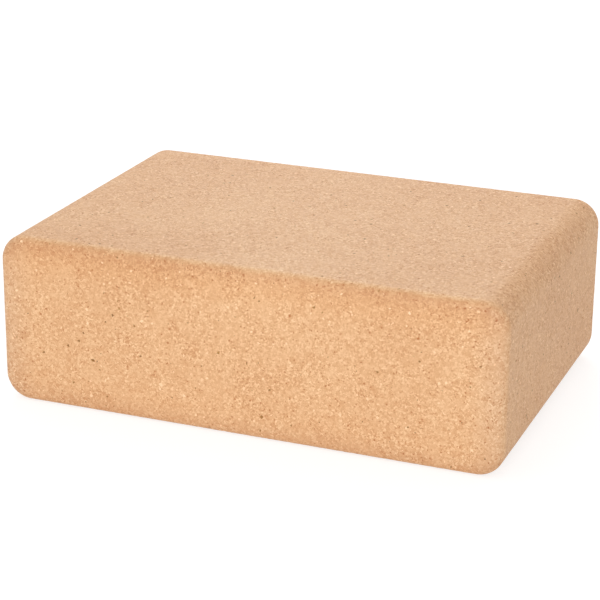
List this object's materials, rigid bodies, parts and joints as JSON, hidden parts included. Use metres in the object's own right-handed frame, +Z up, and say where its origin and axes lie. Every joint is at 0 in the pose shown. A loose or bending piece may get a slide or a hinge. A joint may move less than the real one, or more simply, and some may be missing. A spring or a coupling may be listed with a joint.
{
  "type": "yoga block",
  "caption": "Solid agglomerated cork yoga block: a flat-faced brick with rounded ends and eased rims, laid flat, on its side or on end as a support for hands, hips or head.",
  "frame": {"origin": "centre of the broad face that the block rests on", "axes": "+X along the length, +Y across the width towards the back long side, +Z up through the height"},
  "size_m": [0.2286, 0.1524, 0.0762],
  "materials": {
    "cork": "sanded agglomerated cork, matt, fine tan grain with pale and dark flecks"
  },
  "bodies": {
    "root": {"cork_block": "cork"}
  },
  "joints": []
}
